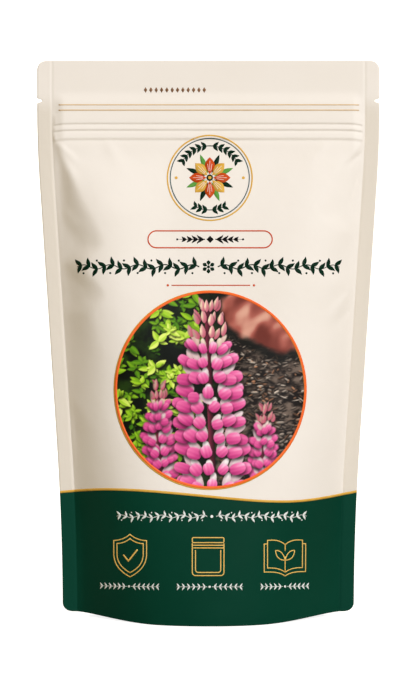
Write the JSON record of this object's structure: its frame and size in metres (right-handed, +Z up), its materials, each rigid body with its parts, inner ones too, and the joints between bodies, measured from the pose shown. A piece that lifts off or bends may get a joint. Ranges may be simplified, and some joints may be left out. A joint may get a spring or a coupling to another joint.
{
  "type": "stand-up seed pouch",
  "caption": "Resealable stand-up pouch of printed film, filled with flower seeds: sealed sides and top, tear notches, press-to-close zip and an opened bottom gusset.",
  "frame": {"origin": "on the floor under the middle of the base, midway between the side seals and between front and back", "axes": "+Z up, the front faces -Y, +X to the viewer's right"},
  "size_m": [0.12, 0.0494, 0.195],
  "materials": {
    "printed_film": "matte printed laminate, cream with a dark green band",
    "plain_film": "matte laminate, cream with a dark green band",
    "green_film": "matte laminate, dark green",
    "zip_plastic": "milky extruded polyethylene",
    "seed_coat": "smooth dry seeds, mottled brown"
  },
  "bodies": {
    "root": {"front_panel": "printed_film", "back_panel": "plain_film", "bottom_gusset": "green_film", "zip_front": "zip_plastic", "zip_back": "zip_plastic", "seed_fill": "seed_coat"}
  },
  "joints": []
}
